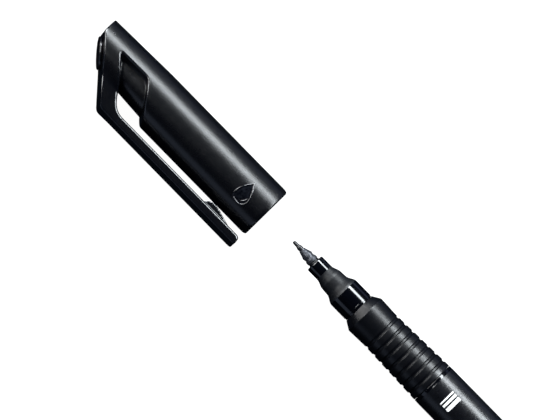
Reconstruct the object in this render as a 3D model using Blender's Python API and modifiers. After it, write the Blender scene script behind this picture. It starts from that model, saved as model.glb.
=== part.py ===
"""Fibre-tip technical pen, lying on a table with its cap drawn off in front of the nib.

The pen's axis runs along X, with the tail at +X. Two frames hold the pieces: the pen's has its
height z counted from the nib's point towards the tail, and the cap's has z counted from the cap's
mouth towards its closed end. In both, x points towards the clip.
"""

import math

import bmesh
import bpy
from mathutils import Matrix, Vector

MM = 0.001
SIDES = 40
SMALL_SIDES = 24
MERGE = 1e-6
SHARP = math.radians(32)

# Where the cap lies, and how far the whole is rolled over towards its clip.
CAP_GAP = 7.8 * MM
CLIP_TILT = math.radians(12)

# Cap
CAP_LENGTH = 48.77 * MM
CAP_R = 6.0 * MM
CAP_END_R = 5.6 * MM
CAP_TAPER_START = 33.0 * MM
CAP_END_ROUND = 0.5 * MM
MOUTH_ROUND = 1.1 * MM
MOUTH_LIP = 0.55 * MM
BORE_R = 5.0 * MM
BORE_DEPTH = 27.5 * MM
LINER_SEAT_R = 4.2 * MM
LINER_SEAT = 29.8 * MM
NARROW_BORE_R = 3.25 * MM
NARROW_BORE_END = 41.5 * MM

# The end is cut off at a slant, and the clip's arm carries the same slant on.
SLANT = math.radians(48)
SLANT_START_X = -1.82 * MM
ARM_THICK = 3.45 * MM
ARM_HALF_WIDTH = 4.3 * MM
SKIN = 0.02 * MM

# Clip
CLIP_OUT = 9.62 * MM
CLIP_IN = 7.7 * MM
CLIP_HALF_WIDTH = 3.35 * MM
CLIP_TIP = 0.22 * MM
CLIP_TIP_ROUND = 1.0 * MM
BEND_OUT_R = 1.8 * MM
BEND_IN_R = 4.4 * MM
TAPER_FROM = 34.0 * MM
TAPER_TO = 42.0 * MM
FLEX_Z = 32.3 * MM
FLEX_GAP = 0.3 * MM
TOOTH_FOOT = 3.4 * MM
TOOTH_TOP = 7.8 * MM
TOOTH_BACK = 8.4 * MM
TOOTH_HEEL_R = 2.35 * MM
TOOTH_HALF_WIDTH = 2.55 * MM
TOOTH_GAP = 0.45 * MM

# The pocket under the arm bares the cap's core.
WINDOW_X = -1.4 * MM
WINDOW_FRONT_TOP = 35.9 * MM
WINDOW_FRONT_FOOT = 30.1 * MM
CORE_R_FRONT = 4.67 * MM
CORE_R_BACK = 4.27 * MM
CORE_FRONT = 31.4 * MM
CORE_BACK = 38.6 * MM

# Button on the slanted face
BUTTON_X = 1.2 * MM
BUTTON_R = 3.4 * MM
BUTTON_PROUD = 0.65 * MM
BUTTON_UNDER = 0.15 * MM
BUTTON_CHAMFER = 0.2 * MM
BUTTON_PIN_R = 1.2 * MM
BUTTON_PIN_LENGTH = 2.4 * MM
FIT_GAP = 0.3 * MM

# Sealing liner inside the cap
LINER_MOUTH = 21.0 * MM
LINER_SKIRT_OUT_R = 4.5 * MM
LINER_SKIRT_R = 3.55 * MM
LINER_SKIRT_END = 25.6 * MM
LINER_NECK_OUT_R = 3.7 * MM
LINER_NECK_R = 3.0 * MM
LINER_NECK_START = 26.9 * MM
LINER_NECK_END = 29.0 * MM
LINER_TUBE_OUT_R = 2.95 * MM
LINER_TUBE_R = 2.3 * MM
LINER_TUBE_START = 30.2 * MM
LINER_END = 41.2 * MM
LINER_END_WALL = 0.8 * MM

# Nib and its holder
POINT_R = 0.385 * MM
POINT_LENGTH = 1.2 * MM
NIB_R = 0.575 * MM
NIB_END = 52.0 * MM
SLEEVE_LIP = 2.4 * MM
SLEEVE_LIP_R = 0.78 * MM
SLEEVE_FLARE = 3.9 * MM
SLEEVE_FLARE_R = 1.2 * MM
SLEEVE_WAIST = 4.5 * MM
SLEEVE_WAIST_R = 1.05 * MM
SLEEVE_RING = (5.0 * MM, 5.5 * MM)
SLEEVE_RING_R = 1.25 * MM
SLEEVE_TAIL_R = 0.95 * MM
SLEEVE_BORE_R = 0.69 * MM
SLEEVE_END = 12.0 * MM
HOLDER_FRONT = 5.97 * MM
COLLAR_1_R = 1.975 * MM
COLLAR_1_END = 8.73 * MM
NECK_R = 2.55 * MM
NECK_START = 10.73 * MM
NECK_END_R = 2.63 * MM
NECK_END = 12.4 * MM
COLLAR_2_R = 3.5 * MM
COLLAR_2_START = 14.2 * MM
COLLAR_2_END = 18.25 * MM
HOLDER_SPIGOT_R = 3.0 * MM
HOLDER_END = 24.5 * MM
SLEEVE_SOCKET_R = 1.2 * MM
NIB_PASSAGE_R = 0.9 * MM

# Grip section
GRIP_FRONT = 18.7 * MM
GRIP_FRONT_R = 3.52 * MM
GRIP_CONE_END = 20.5 * MM
GRIP_SHOULDER_R = 4.575 * MM
GRIP_WAIST = 24.5 * MM
GRIP_WAIST_R = 4.42 * MM
GRIP_REAR_R = 4.88 * MM
GRIP_END = 39.5 * MM
GROOVES = 7
GROOVE_FIRST = 25.4 * MM
GROOVE_PITCH = 2.09 * MM
GROOVE_HALF = 0.42 * MM
GROOVE_FLOOR_HALF = 0.16 * MM
GROOVE_DEPTH = 0.22 * MM
SPIGOT_R = 3.95 * MM
SPIGOT_END = 46.0 * MM
SECTION_BORE_R = 3.0 * MM

# Barrel, ink store and tail
BARREL_R = 4.915 * MM
BARREL_BORE_R = 4.25 * MM
BARREL_END = 121.0 * MM
SEAM = 0.1 * MM
EDGE = 0.15 * MM
STORE_START = 47.0 * MM
STORE_END = 112.0 * MM
STORE_R = 3.5 * MM
STORE_HOLE_R = 0.85 * MM
STORE_HOLE_END = 53.0 * MM
WRAP_IN_R = 3.65 * MM
WRAP_OUT_R = 3.85 * MM
WRAP_SETBACK = 0.3 * MM
PEN_LENGTH = 131.0 * MM
PLUG_R = 4.4 * MM
PLUG_END_R = 4.2 * MM
PLUG_ROUND = 0.4 * MM
PLUG_START = 113.5 * MM
PLUG_BORE_R = 3.0 * MM
PLUG_END_WALL = 2.0 * MM

BLACK = (0.012, 0.013, 0.018, 1)
SOFT_BLACK = (0.020, 0.021, 0.026, 1)
GREY_METAL = (0.30, 0.31, 0.33, 1)
NIB_DARK = (0.035, 0.035, 0.040, 1)
LINER_WHITE = (0.72, 0.72, 0.70, 1)
INK_FELT = (0.030, 0.030, 0.040, 1)
FILM = (0.62, 0.64, 0.66, 1)


def collection(name):
    made = bpy.data.collections.new(name)
    bpy.context.scene.collection.children.link(made)
    return made


def clear_scene():
    for obj in list(bpy.data.objects):
        bpy.data.objects.remove(obj)


clear_scene()
PARTS = collection("technical_pen")
CUTTERS = collection("cutters")


def material(name, color, roughness, metallic=0.0):
    made = bpy.data.materials.new(name)
    made.use_nodes = True
    shader = made.node_tree.nodes["Principled BSDF"]
    shader.inputs["Base Color"].default_value = color
    shader.inputs["Roughness"].default_value = roughness
    shader.inputs["Metallic"].default_value = metallic
    made.diffuse_color = color
    return made


def empty(name, matrix, parent=None):
    made = bpy.data.objects.new(name, None)
    PARTS.objects.link(made)
    made.parent = parent
    made.matrix_local = matrix
    return made


def axis_frame(x, y, z, towards):
    """A frame on the pen's axis: z runs along the world's X, towards +1 or -1, and x points at the clip."""
    along = Vector((towards, 0, 0))
    clip = Vector((0, -math.cos(CLIP_TILT), -math.sin(CLIP_TILT)))
    across = along.cross(clip)
    turn = Matrix((clip, across, along)).transposed().to_4x4()
    return Matrix.Translation((x, y, z)) @ turn


def new_object(name, mesh, home):
    made = bpy.data.objects.new(name, mesh)
    home.objects.link(made)
    if home is CUTTERS:
        made.hide_render = True
        made.display_type = "WIRE"
    return made


def settle(obj):
    """Replaces the object's mesh by the one its modifiers make."""
    bpy.context.view_layer.update()
    graph = bpy.context.evaluated_depsgraph_get()
    made = bpy.data.meshes.new_from_object(obj.evaluated_get(graph))
    obj.modifiers.clear()
    obj.data = made
    return obj


def turned(name, profile, home=PARTS, sides=SIDES):
    """A turned solid. The profile's (radius, z) points run down the outer side, then back up any bore."""
    mesh = bpy.data.meshes.new(name)
    bm = bmesh.new()
    points = [bm.verts.new((r, 0, z)) for r, z in profile]
    for first, second in zip(points, points[1:]):
        bm.edges.new((first, second))
    if profile[0][0] > 0 and profile[-1][0] > 0:
        bm.edges.new((points[-1], points[0]))
    bm.to_mesh(mesh)
    bm.free()
    obj = new_object(name, mesh, home)
    screw = obj.modifiers.new("turn", "SCREW")
    screw.axis = "Z"
    screw.steps = sides
    screw.render_steps = sides
    screw.use_merge_vertices = True
    screw.merge_threshold = MERGE
    return settle(obj)


def rounded(corners, steps=5):
    """Outline points from (x, y, radius) corners, with an arc at each corner that has a radius."""
    outline = []
    for i, (x, y, radius) in enumerate(corners):
        corner = Vector((x, y))
        if not radius:
            outline.append(corner)
            continue
        before = (Vector(corners[i - 1][:2]) - corner).normalized()
        after = (Vector(corners[(i + 1) % len(corners)][:2]) - corner).normalized()
        half = before.angle(after) / 2
        centre = corner + (before + after).normalized() * radius / math.sin(half)
        start = corner + before * radius / math.tan(half) - centre
        end = corner + after * radius / math.tan(half) - centre
        sweep = start.angle_signed(end)
        for step in range(steps + 1):
            outline.append(centre + Matrix.Rotation(-sweep * step / steps, 2) @ start)
    return outline


def prism(name, outline, axes, half, home=PARTS):
    """A flat outline extruded half each way. axes holds the frame's directions for outline x, y and depth."""
    curve = bpy.data.curves.new(name, "CURVE")
    curve.dimensions = "2D"
    curve.fill_mode = "BOTH"
    curve.extrude = half
    spline = curve.splines.new("POLY")
    spline.points.add(len(outline) - 1)
    for point, place in zip(spline.points, outline):
        point.co = (place[0], place[1], 0, 1)
    spline.use_cyclic_u = True
    drawn = new_object(name + "_outline", curve, CUTTERS)
    bpy.context.view_layer.update()
    graph = bpy.context.evaluated_depsgraph_get()
    mesh = bpy.data.meshes.new_from_object(drawn.evaluated_get(graph))
    bpy.data.objects.remove(drawn)
    mesh.transform(Matrix(axes).transposed().to_4x4())
    bm = bmesh.new()
    bm.from_mesh(mesh)
    bmesh.ops.remove_doubles(bm, verts=bm.verts, dist=MERGE)
    bmesh.ops.recalc_face_normals(bm, faces=bm.faces)
    bm.to_mesh(mesh)
    bm.free()
    return new_object(name, mesh, home)


SIDE_VIEW = ((0, 0, 1), (1, 0, 0), (0, 1, 0))
PLAN_VIEW = ((0, 1, 0), (0, 0, 1), (1, 0, 0))


def boolean(obj, operation, other):
    step = obj.modifiers.new(operation.lower(), "BOOLEAN")
    step.operation = operation
    step.object = other
    step.solver = "EXACT"
    return settle(obj)


def finish(obj, parent, look):
    """Gives a piece its frame and material, and shades its round faces smooth."""
    obj.parent = parent
    obj.data.materials.clear()
    obj.data.materials.append(look)
    obj.data.shade_smooth()
    obj.data.set_sharp_from_angle(angle=SHARP)
    return obj


def quarter(centre_r, centre_z, radius_r, radius_z, start, steps=4):
    """Profile points on a quarter of an ellipse, from angle start (degrees) clockwise."""
    angles = [math.radians(start - 90 * i / steps) for i in range(steps + 1)]
    return [(centre_r + radius_r * math.cos(a), centre_z + radius_z * math.sin(a)) for a in angles]


def slant_point(x, depth=0.0):
    """The z of the slanted face at x, or of the plane that lies depth under it."""
    return CAP_LENGTH - (x - SLANT_START_X) / math.tan(SLANT) - depth / math.sin(SLANT)


def cap_body():
    outer = [(0, CAP_LENGTH)]
    outer += quarter(CAP_END_R - CAP_END_ROUND, CAP_LENGTH - CAP_END_ROUND, CAP_END_ROUND, CAP_END_ROUND, 90)
    outer += [(CAP_R, CAP_TAPER_START)]
    outer += quarter(CAP_R - MOUTH_LIP, MOUTH_ROUND, MOUTH_LIP, MOUTH_ROUND, 0)
    outer += [(0, 0)]
    return turned("cap_shell", outer)


def slant_cutter():
    """Everything outside the slanted end face."""
    reach = 2 * CAP_R
    outline = [
        (slant_point(-reach), -reach),
        (slant_point(reach), reach),
        (CAP_LENGTH + 2 * reach, reach),
        (CAP_LENGTH + 2 * reach, -reach),
    ]
    return prism("slant_cutter", outline, SIDE_VIEW, reach, CUTTERS)


def window_cutter():
    """The pocket under the arm: a slanted slot right across the cap, less the core that it bares."""
    reach = CAP_R + 2 * MM
    lean = (WINDOW_FRONT_TOP - WINDOW_FRONT_FOOT) / (CAP_R - WINDOW_X)
    outline = [
        (WINDOW_FRONT_TOP, WINDOW_X),
        (slant_point(WINDOW_X, ARM_THICK), WINDOW_X),
        (slant_point(reach, ARM_THICK), reach),
        (WINDOW_FRONT_FOOT - lean * (reach - CAP_R), reach),
    ]
    cutter = prism("window_cutter", outline, SIDE_VIEW, reach, CUTTERS)
    grow = (CORE_R_FRONT - CORE_R_BACK) / (CORE_BACK - CORE_FRONT)
    high = CORE_BACK + 8 * MM
    low = CORE_FRONT - 4 * MM
    profile = [
        (0, high),
        (CORE_R_BACK - grow * (high - CORE_BACK), high),
        (CORE_R_FRONT + grow * (CORE_FRONT - low), low),
        (0, low),
    ]
    core = turned("core", profile, CUTTERS)
    return boolean(cutter, "DIFFERENCE", core)


def arm():
    """The thick arm from inside the cap's end, along its slant, round the bend to the root of the bar."""
    root = FLEX_Z + FLEX_GAP / 2
    inside = SLANT_START_X + MM
    under = ARM_THICK - SKIN
    corners = [
        (root, CLIP_IN, 0),
        (root, CLIP_OUT, 0),
        (slant_point(CLIP_OUT, -SKIN), CLIP_OUT, BEND_OUT_R),
        (slant_point(inside, -SKIN), inside, 0),
        (slant_point(inside, under), inside, 0),
        (slant_point(CLIP_IN, under), CLIP_IN, BEND_IN_R),
    ]
    made = prism("arm", rounded(corners), SIDE_VIEW, 2 * ARM_HALF_WIDTH, CUTTERS)
    top = CAP_LENGTH + 4 * MM
    plan = [
        (-CLIP_HALF_WIDTH, root - MM),
        (CLIP_HALF_WIDTH, root - MM),
        (CLIP_HALF_WIDTH, TAPER_FROM),
        (ARM_HALF_WIDTH, TAPER_TO),
        (ARM_HALF_WIDTH, top),
        (-ARM_HALF_WIDTH, top),
        (-ARM_HALF_WIDTH, TAPER_TO),
        (-CLIP_HALF_WIDTH, TAPER_FROM),
    ]
    sides = prism("arm_sides", plan, PLAN_VIEW, 2 * CLIP_OUT, CUTTERS)
    return boolean(made, "INTERSECT", sides)


def bore_cutter():
    profile = [
        (0, NARROW_BORE_END),
        (NARROW_BORE_R, NARROW_BORE_END),
        (NARROW_BORE_R, LINER_SEAT),
        (LINER_SEAT_R, LINER_SEAT),
        (BORE_R, BORE_DEPTH),
        (BORE_R, -MM),
        (0, -MM),
    ]
    return turned("bore_cutter", profile, CUTTERS)


def on_slant(obj):
    """Stands a turned piece on the slanted face, with its z along the face's normal."""
    normal_tilt = Matrix.Rotation(math.pi / 2 - SLANT, 4, "Y")
    foot = Matrix.Translation((BUTTON_X, 0, slant_point(BUTTON_X)))
    obj.data.transform(foot @ normal_tilt)
    return obj


def socket_cutter():
    radius = BUTTON_PIN_R + FIT_GAP
    deep = -BUTTON_PIN_LENGTH - FIT_GAP
    profile = [(0, MM), (radius, MM), (radius, deep), (0, deep)]
    return on_slant(turned("socket_cutter", profile, CUTTERS, SMALL_SIDES))


def cap_shell():
    shell = cap_body()
    boolean(shell, "DIFFERENCE", slant_cutter())
    boolean(shell, "DIFFERENCE", window_cutter())
    boolean(shell, "UNION", arm())
    boolean(shell, "DIFFERENCE", bore_cutter())
    return boolean(shell, "DIFFERENCE", socket_cutter())


def end_button():
    edge = BUTTON_R - BUTTON_CHAMFER
    profile = [
        (0, BUTTON_PROUD),
        (edge, BUTTON_PROUD),
        (BUTTON_R, BUTTON_PROUD - BUTTON_CHAMFER),
        (BUTTON_R, BUTTON_UNDER),
        (BUTTON_PIN_R, BUTTON_UNDER),
        (BUTTON_PIN_R, -BUTTON_PIN_LENGTH),
        (0, -BUTTON_PIN_LENGTH),
    ]
    return on_slant(turned("end_button", profile, sides=SMALL_SIDES))


def tooth_outline():
    """The tooth's side view: it slopes up from its foot and rounds off behind."""
    top = CAP_R + TOOTH_GAP
    heel_x = top + TOOTH_HEEL_R
    inside = (CLIP_IN + CLIP_OUT) / 2
    sweep = math.acos((heel_x - CLIP_IN) / TOOTH_HEEL_R)
    outline = [(TOOTH_FOOT, inside), (TOOTH_FOOT, CLIP_IN), (TOOTH_TOP, top)]
    for step in range(6):
        angle = sweep * step / 5
        outline.append((TOOTH_BACK + TOOTH_HEEL_R * math.sin(angle), heel_x - TOOTH_HEEL_R * math.cos(angle)))
    outline.append((outline[-1][0], inside))
    return outline


def pocket_clip(pivot_x):
    """The springy bar, and the narrower tooth on its inner face."""
    root = FLEX_Z - FLEX_GAP / 2
    corners = [
        (root, CLIP_OUT, 0),
        (CLIP_TIP, CLIP_OUT, 0),
        (CLIP_TIP, CLIP_IN, CLIP_TIP_ROUND),
        (root, CLIP_IN, 0),
    ]
    bar = prism("pocket_clip", rounded(corners), SIDE_VIEW, CLIP_HALF_WIDTH)
    boolean(bar, "UNION", prism("tooth", tooth_outline(), SIDE_VIEW, TOOTH_HALF_WIDTH, CUTTERS))
    bar.data.transform(Matrix.Translation((-pivot_x, 0, -FLEX_Z)))
    return bar


def inner_cap():
    wall = LINER_TUBE_OUT_R - LINER_TUBE_R
    edge = 0.2 * MM
    return turned(
        "inner_cap",
        [
            (0, LINER_END),
            (LINER_TUBE_OUT_R - edge, LINER_END),
            (LINER_TUBE_OUT_R, LINER_END - edge),
            (LINER_TUBE_OUT_R, LINER_NECK_END + wall),
            (LINER_NECK_OUT_R, LINER_NECK_END),
            (LINER_NECK_OUT_R, LINER_NECK_START),
            (LINER_SKIRT_OUT_R, LINER_SKIRT_END),
            (LINER_SKIRT_OUT_R, LINER_MOUTH + edge),
            (LINER_SKIRT_OUT_R - edge, LINER_MOUTH),
            (LINER_SKIRT_R, LINER_MOUTH),
            (LINER_SKIRT_R, LINER_SKIRT_END),
            (LINER_NECK_R, LINER_NECK_START),
            (LINER_NECK_R, LINER_NECK_END),
            (LINER_TUBE_R, LINER_TUBE_START),
            (LINER_TUBE_R, LINER_END - LINER_END_WALL - edge),
            (0, LINER_END - LINER_END_WALL),
        ],
    )


def nib_core():
    profile = [(0, NIB_END), (NIB_R, NIB_END), (NIB_R, POINT_LENGTH + EDGE), (POINT_R, POINT_LENGTH)]
    profile += quarter(0, POINT_R, POINT_R, POINT_R, 0)
    return turned("nib_core", profile, sides=SMALL_SIDES)


def nib_sleeve():
    ring_start, ring_end = SLEEVE_RING
    profile = [
        (SLEEVE_TAIL_R, SLEEVE_END),
        (SLEEVE_TAIL_R, ring_end + 2 * EDGE),
        (SLEEVE_RING_R, ring_end),
        (SLEEVE_RING_R, ring_start),
        (SLEEVE_WAIST_R, SLEEVE_WAIST),
        (SLEEVE_FLARE_R, SLEEVE_FLARE),
        (SLEEVE_LIP_R, SLEEVE_LIP),
        (SLEEVE_BORE_R, SLEEVE_LIP),
        (SLEEVE_BORE_R, SLEEVE_END),
    ]
    return turned("nib_sleeve", profile, sides=SMALL_SIDES)


def nib_holder():
    """The stepped nose: a slim collar, an S-curved neck and a thick collar, on a spigot."""
    steps = 4
    neck = []
    for step in range(steps + 1):
        share = step / steps
        swell = 0.5 + 0.5 * math.cos(math.pi * share)
        z = NECK_START + (COLLAR_1_END - NECK_START) * share
        neck.append((COLLAR_1_R + (NECK_R - COLLAR_1_R) * swell, z))
    profile = [
        (HOLDER_SPIGOT_R - EDGE, HOLDER_END),
        (HOLDER_SPIGOT_R, HOLDER_END - EDGE),
        (HOLDER_SPIGOT_R, COLLAR_2_END),
        (COLLAR_2_R - EDGE, COLLAR_2_END),
        (COLLAR_2_R, COLLAR_2_END - EDGE),
        (COLLAR_2_R, COLLAR_2_START + EDGE),
        (COLLAR_2_R - EDGE, COLLAR_2_START),
        (NECK_END_R, NECK_END),
    ]
    profile += neck
    profile += quarter(COLLAR_1_R - 2 * EDGE, HOLDER_FRONT + 2 * EDGE, 2 * EDGE, 2 * EDGE, 0, 2)
    profile += [
        (SLEEVE_SOCKET_R, HOLDER_FRONT),
        (SLEEVE_SOCKET_R, SLEEVE_END + FIT_GAP),
        (NIB_PASSAGE_R, SLEEVE_END + FIT_GAP),
        (NIB_PASSAGE_R, HOLDER_END),
    ]
    return turned("nib_holder", profile)


def grip_radius(z):
    """The grip's ridge line, which widens evenly from the waist to the barrel."""
    share = (z - GRIP_WAIST) / (GRIP_END - GRIP_WAIST)
    return GRIP_WAIST_R + (GRIP_REAR_R - GRIP_WAIST_R) * share


def grip_section():
    profile = [
        (SPIGOT_R - EDGE, SPIGOT_END),
        (SPIGOT_R, SPIGOT_END - EDGE),
        (SPIGOT_R, GRIP_END),
        (GRIP_REAR_R - EDGE, GRIP_END),
        (GRIP_REAR_R, GRIP_END - EDGE),
    ]
    for groove in reversed(range(GROOVES)):
        middle = GROOVE_FIRST + GROOVE_PITCH * groove
        floor = grip_radius(middle) - GROOVE_DEPTH
        profile += [
            (grip_radius(middle + GROOVE_HALF), middle + GROOVE_HALF),
            (floor, middle + GROOVE_FLOOR_HALF),
            (floor, middle - GROOVE_FLOOR_HALF),
            (grip_radius(middle - GROOVE_HALF), middle - GROOVE_HALF),
        ]
    profile += [
        (GRIP_WAIST_R, GRIP_WAIST),
        (GRIP_SHOULDER_R, GRIP_CONE_END + EDGE),
        (GRIP_SHOULDER_R - EDGE, GRIP_CONE_END - EDGE),
        (GRIP_FRONT_R, GRIP_FRONT),
        (HOLDER_SPIGOT_R + FIT_GAP, GRIP_FRONT),
        (HOLDER_SPIGOT_R + FIT_GAP, HOLDER_END + FIT_GAP),
        (SECTION_BORE_R, HOLDER_END + 2 * FIT_GAP),
        (SECTION_BORE_R, SPIGOT_END),
    ]
    return turned("grip_section", profile)


def barrel():
    front = GRIP_END + SEAM
    profile = [
        (BARREL_R - EDGE, BARREL_END),
        (BARREL_R, BARREL_END - EDGE),
        (BARREL_R, front + EDGE),
        (BARREL_R - EDGE / 2, front),
        (BARREL_BORE_R, front),
        (BARREL_BORE_R, BARREL_END),
    ]
    return turned("barrel", profile)


def reservoir():
    profile = [
        (0, STORE_END),
        (STORE_R, STORE_END),
        (STORE_R, STORE_START),
        (STORE_HOLE_R, STORE_START),
        (STORE_HOLE_R, STORE_HOLE_END),
        (0, STORE_HOLE_END),
    ]
    return turned("reservoir", profile, sides=SMALL_SIDES)


def reservoir_wrap():
    high = STORE_END - WRAP_SETBACK
    low = STORE_START + WRAP_SETBACK
    profile = [(WRAP_OUT_R, high), (WRAP_OUT_R, low), (WRAP_IN_R, low), (WRAP_IN_R, high)]
    return turned("reservoir_wrap", profile)


def tail_plug():
    shoulder = BARREL_END + SEAM
    profile = [(0, PEN_LENGTH)]
    profile += quarter(PLUG_END_R - PLUG_ROUND, PEN_LENGTH - PLUG_ROUND, PLUG_ROUND, PLUG_ROUND, 90)
    profile += [
        (PLUG_R, shoulder),
        (SPIGOT_R, shoulder),
        (SPIGOT_R, PLUG_START + EDGE),
        (SPIGOT_R - EDGE, PLUG_START),
        (PLUG_BORE_R, PLUG_START),
        (PLUG_BORE_R, PEN_LENGTH - PLUG_END_WALL - EDGE),
        (0, PEN_LENGTH - PLUG_END_WALL),
    ]
    return turned("tail_plug", profile)


def main():
    total = CAP_LENGTH + CAP_GAP + PEN_LENGTH
    point_x = CAP_LENGTH + CAP_GAP - total / 2
    clip_reach = CLIP_OUT * math.cos(CLIP_TILT) + CLIP_HALF_WIDTH * math.sin(CLIP_TILT)
    axis_y = (clip_reach - CAP_R) / 2
    pen = empty("pen_frame", axis_frame(point_x, axis_y, CAP_R, 1))
    cap = empty("cap_frame", axis_frame(point_x - CAP_GAP, axis_y, CAP_R, -1))
    pivot_x = (CLIP_IN + CLIP_OUT) / 2
    pivot = empty("clip_pivot", Matrix.Translation((pivot_x, 0, FLEX_Z)), cap)

    satin = material("satin_black", BLACK, 0.38)
    finish(cap_shell(), cap, satin)
    finish(pocket_clip(pivot_x), pivot, material("clip_black", BLACK, 0.36))
    finish(end_button(), cap, material("button_black", BLACK, 0.30))
    finish(inner_cap(), cap, material("liner_white", LINER_WHITE, 0.45))
    finish(barrel(), pen, material("barrel_black", BLACK, 0.40))
    finish(grip_section(), pen, material("grip_black", SOFT_BLACK, 0.55))
    finish(nib_holder(), pen, material("holder_black", BLACK, 0.15))
    finish(nib_sleeve(), pen, material("sleeve_metal", GREY_METAL, 0.35, 0.9))
    finish(nib_core(), pen, material("nib_fibre", NIB_DARK, 0.50))
    finish(reservoir(), pen, material("ink_felt", INK_FELT, 0.95))
    finish(reservoir_wrap(), pen, material("wrap_film", FILM, 0.25))
    finish(tail_plug(), pen, material("plug_black", BLACK, 0.38))


main()
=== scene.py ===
import math

import bmesh
import bpy
import numpy as np
from mathutils import Matrix, Vector


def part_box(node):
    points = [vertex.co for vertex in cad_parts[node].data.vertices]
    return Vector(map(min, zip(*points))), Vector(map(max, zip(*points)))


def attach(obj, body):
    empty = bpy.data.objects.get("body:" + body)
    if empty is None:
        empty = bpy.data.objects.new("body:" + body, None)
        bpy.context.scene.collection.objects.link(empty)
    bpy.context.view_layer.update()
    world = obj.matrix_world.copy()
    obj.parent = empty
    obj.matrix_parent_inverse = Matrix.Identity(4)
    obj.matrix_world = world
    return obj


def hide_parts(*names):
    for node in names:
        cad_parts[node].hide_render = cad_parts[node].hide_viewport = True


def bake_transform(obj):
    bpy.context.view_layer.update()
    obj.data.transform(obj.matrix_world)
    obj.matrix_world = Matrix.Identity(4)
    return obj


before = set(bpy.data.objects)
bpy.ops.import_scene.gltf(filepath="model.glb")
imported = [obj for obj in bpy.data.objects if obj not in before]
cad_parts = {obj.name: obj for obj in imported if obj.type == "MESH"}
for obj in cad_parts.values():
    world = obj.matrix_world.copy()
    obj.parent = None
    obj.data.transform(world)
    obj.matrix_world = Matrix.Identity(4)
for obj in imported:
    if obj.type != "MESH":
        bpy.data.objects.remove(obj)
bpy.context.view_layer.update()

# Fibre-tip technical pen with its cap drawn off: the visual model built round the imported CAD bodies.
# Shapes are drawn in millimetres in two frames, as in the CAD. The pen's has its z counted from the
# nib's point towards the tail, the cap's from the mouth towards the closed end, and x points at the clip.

MM = 0.001

CLIP_TILT = math.radians(12)
BARREL_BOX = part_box("barrel")
AXIS_Y = (BARREL_BOX[0][1] + BARREL_BOX[1][1]) / 2
AXIS_Z = (BARREL_BOX[0][2] + BARREL_BOX[1][2]) / 2
NIB_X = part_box("nib_core")[0][0]
MOUTH_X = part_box("cap_shell")[1][0]


# ---------------------------------------------------------------- frames and meshes

def axis_frame(x, towards):
    """A frame on the pen's axis: z runs along the world's X, towards +1 or -1, and x points at the clip."""
    along = Vector((towards, 0, 0))
    clip = Vector((0, -math.cos(CLIP_TILT), -math.sin(CLIP_TILT)))
    turn = Matrix((clip, along.cross(clip), along)).transposed().to_4x4()
    return Matrix.Translation((x, AXIS_Y, AXIS_Z)) @ turn


PEN = axis_frame(NIB_X, 1)
CAP = axis_frame(MOUTH_X, -1)


def new_piece(name, points, faces, place, looks, look_of_face=None):
    """A mesh piece from points in millimetres in a frame, which the materials read from an attribute."""
    points = np.asarray(points, float)
    turn = np.array(place.to_3x3())
    mesh = bpy.data.meshes.new(name)
    mesh.from_pydata((points @ turn.T * MM + np.array(place.translation)).tolist(), [], faces)
    for look in looks:
        mesh.materials.append(look)
    if look_of_face is not None:
        mesh.polygons.foreach_set("material_index", look_of_face)
    mesh.shade_smooth()
    resting = mesh.attributes.new("resting", "FLOAT_VECTOR", "POINT")
    resting.data.foreach_set("vector", points.astype(np.float32).ravel())
    piece = bpy.data.objects.new(name, mesh)
    bpy.context.scene.collection.objects.link(piece)
    return piece


def settle_piece(piece, body, slot, *nodes):
    """Hangs a finished piece on its body and lets it stand for its CAD nodes."""
    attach(piece, body)
    if nodes:
        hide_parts(*nodes)
    return piece


def rounded(corners, steps=5):
    """Profile points from (r, z, radius) corners, with an arc at each corner that has a radius."""
    outline = []
    for i, (r, z, radius) in enumerate(corners):
        corner = Vector((r, z))
        if not radius:
            outline.append(tuple(corner))
            continue
        before = Vector(corners[i - 1][:2]) - corner
        after = Vector(corners[(i + 1) % len(corners)][:2]) - corner
        half = before.angle(after) / 2
        reach = min(radius / math.tan(half), 0.49 * before.length, 0.49 * after.length)
        radius = reach * math.tan(half)
        before.normalize()
        after.normalize()
        centre = corner + (before + after).normalized() * radius / math.sin(half)
        start = corner + before * reach - centre
        sweep = start.angle_signed(corner + after * reach - centre)
        for step in range(steps + 1):
            outline.append(tuple(centre + Matrix.Rotation(-sweep * step / steps, 2) @ start))
    return outline


def turned(name, corners, place, looks, sides=128, shape=None, look_at=None):
    """A turned piece. The profile runs down the outer side, then back up any bore."""
    profile = rounded(corners)
    closed = profile[0][0] > 0 and profile[-1][0] > 0
    angles = np.arange(sides) * 2 * math.pi / sides
    points, rings = [], []
    for r, z in profile:
        first = len(points)
        if r <= 1e-9:
            points.append((0, 0, z))
            rings.append([first] * sides)
            continue
        radius = r * shape(angles, z) if shape else np.full(sides, r)
        points += list(zip(radius * np.cos(angles), radius * np.sin(angles), np.full(sides, z)))
        rings.append(list(range(first, first + sides)))
    faces = []
    pairs = list(zip(rings, rings[1:])) + ([(rings[-1], rings[0])] if closed else [])
    for upper, lower in pairs:
        for i in range(sides):
            j = (i + 1) % sides
            face = [upper[i], lower[i], lower[j], upper[j]]
            faces.append(list(dict.fromkeys(face)))
    look_of_face = None
    if look_at:
        heights = np.array([point[2] for point in points])
        look_of_face = [look_at(heights[face].mean()) for face in faces]
    piece = new_piece(name, points, faces, place, looks, look_of_face)
    piece.data.set_sharp_from_angle(angle=math.radians(40))
    weighted = piece.modifiers.new("even_shading", "WEIGHTED_NORMAL")
    weighted.keep_sharp = True
    weighted.weight = 90
    return piece


# ---------------------------------------------------------------- materials

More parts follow.
